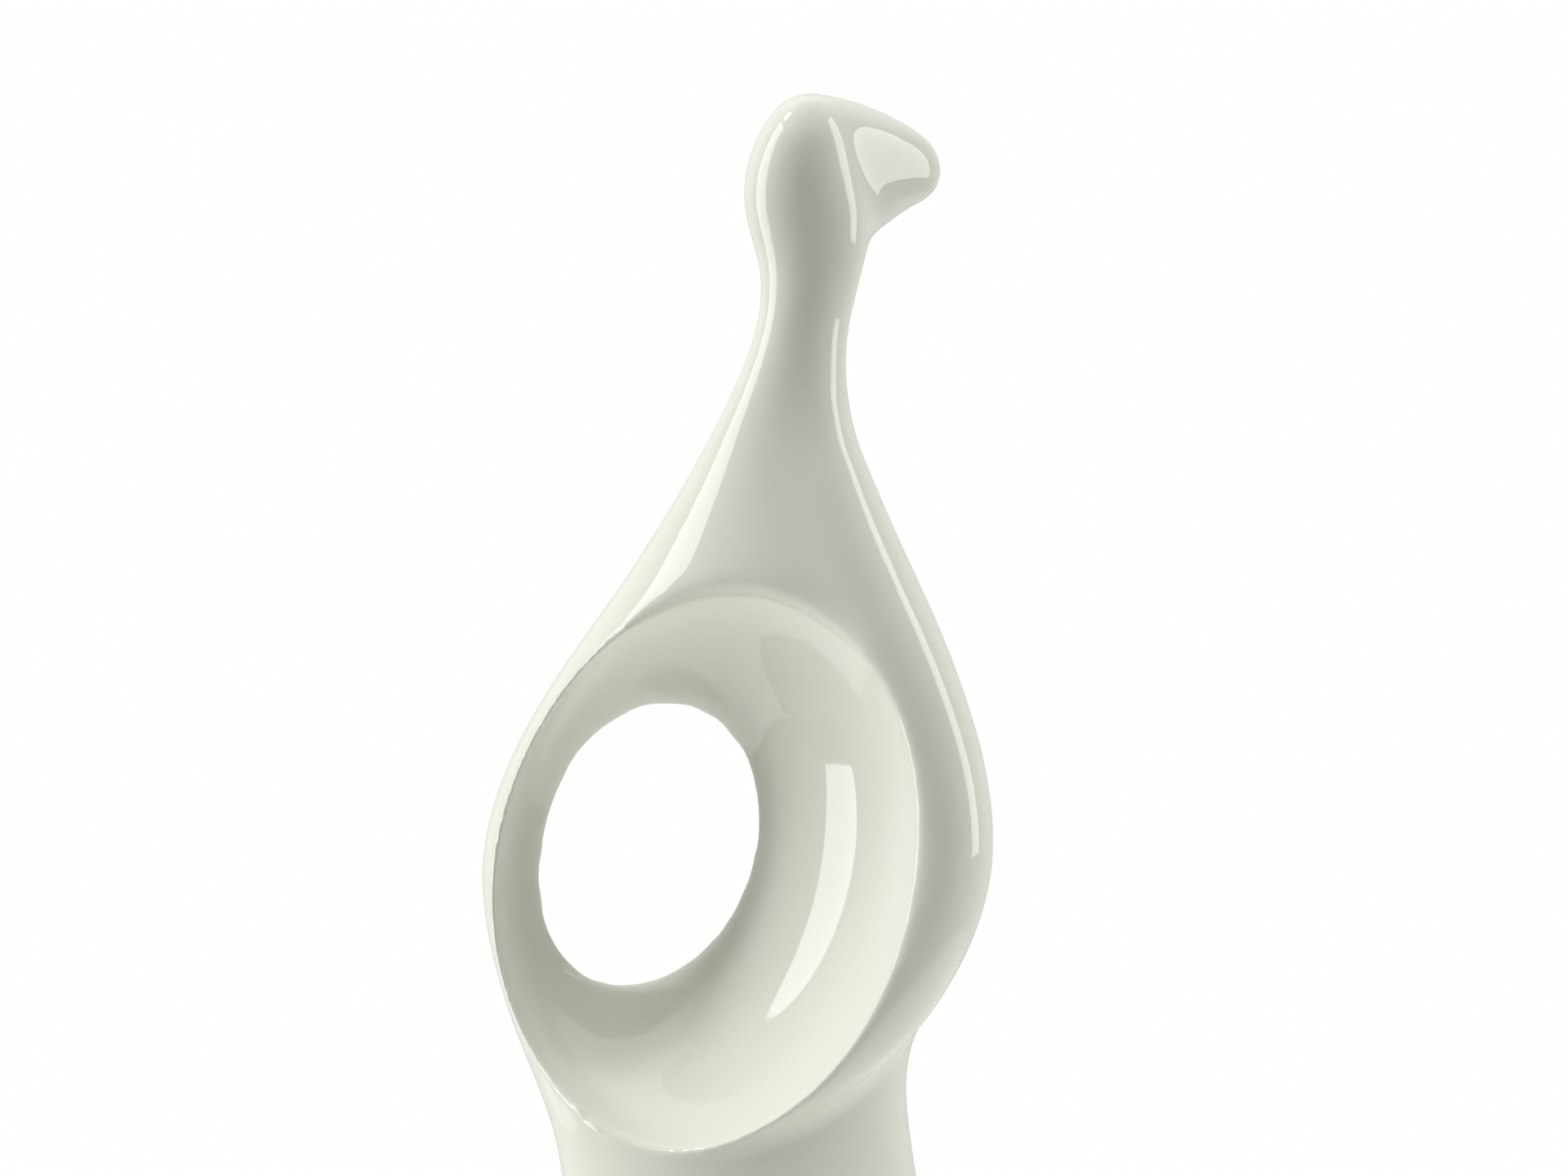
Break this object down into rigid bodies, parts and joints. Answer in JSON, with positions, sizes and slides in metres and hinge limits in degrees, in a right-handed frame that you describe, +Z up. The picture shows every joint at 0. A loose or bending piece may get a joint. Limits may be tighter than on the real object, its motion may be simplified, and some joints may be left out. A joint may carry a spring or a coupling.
{
  "type": "figurine",
  "caption": "Tall abstract standing woman in white glazed porcelain, with a round bowl pierced through the body, a featureless egg-shaped head with a pointed bun, and a plain skirt.",
  "frame": {"origin": "centre of the foot on the surface it stands on, under the middle of the figure's overall width and depth", "axes": "+Z up; the bowl opens towards -Y, the front; +X to the viewer's right when the front is seen"},
  "size_m": [0.0891, 0.066, 0.33],
  "materials": {
    "glaze": "white porcelain under a clear glossy glaze",
    "luting": "fired luting slip, glazed over with the castings",
    "bisque": "unglazed fired porcelain"
  },
  "bodies": {
    "root": {"head": "glaze", "torso": "glaze", "skirt": "glaze", "neck_slip": "luting", "waist_slip": "luting", "foot_plate": "bisque", "foot_slip": "bisque"}
  },
  "joints": []
}
